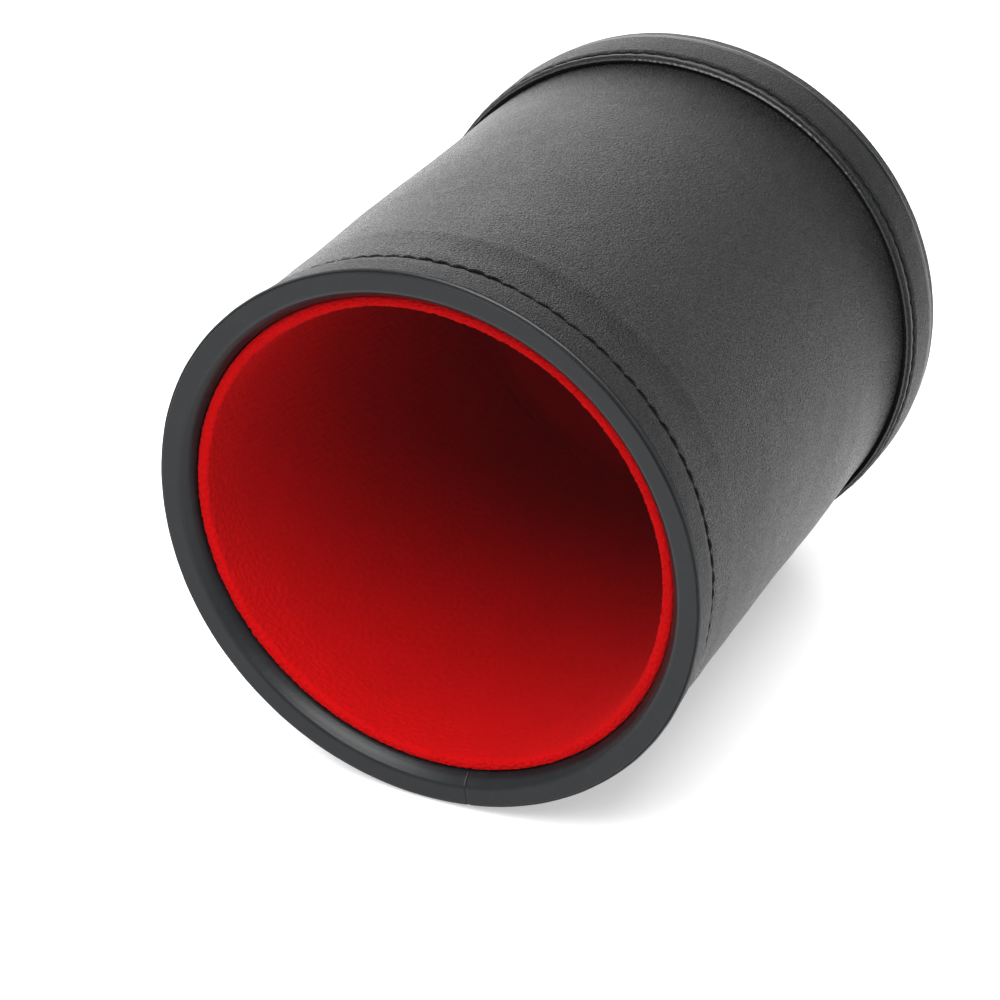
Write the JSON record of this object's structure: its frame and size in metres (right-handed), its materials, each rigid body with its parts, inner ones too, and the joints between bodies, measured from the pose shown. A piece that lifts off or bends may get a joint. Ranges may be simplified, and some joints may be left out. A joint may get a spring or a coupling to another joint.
{
  "type": "dice cup",
  "caption": "Round leather-covered dice cup with a folded rim, a stitched base band and a felt lining, open at the mouth.",
  "frame": {"origin": "centre of the base's underside", "axes": "+Z along the cup's axis, from the base out of the mouth"},
  "size_m": [0.0816, 0.0816, 0.093],
  "materials": {
    "body_leather": "fine grain, satin",
    "trim_leather": "smooth, satin",
    "thread": "waxed thread",
    "felt": "short-pile felt",
    "card": "plain board",
    "core": "rigid extruded plastic"
  },
  "bodies": {
    "root": {"core_tube": "core", "core_board": "core", "body_leather": "body_leather", "rim_binding": "trim_leather", "rim_stitching": "thread", "base_band": "trim_leather", "base_stitching": "thread", "base_leather": "body_leather", "lining_card": "card", "wall_felt": "felt", "floor_card": "card", "floor_felt": "felt"}
  },
  "joints": []
}
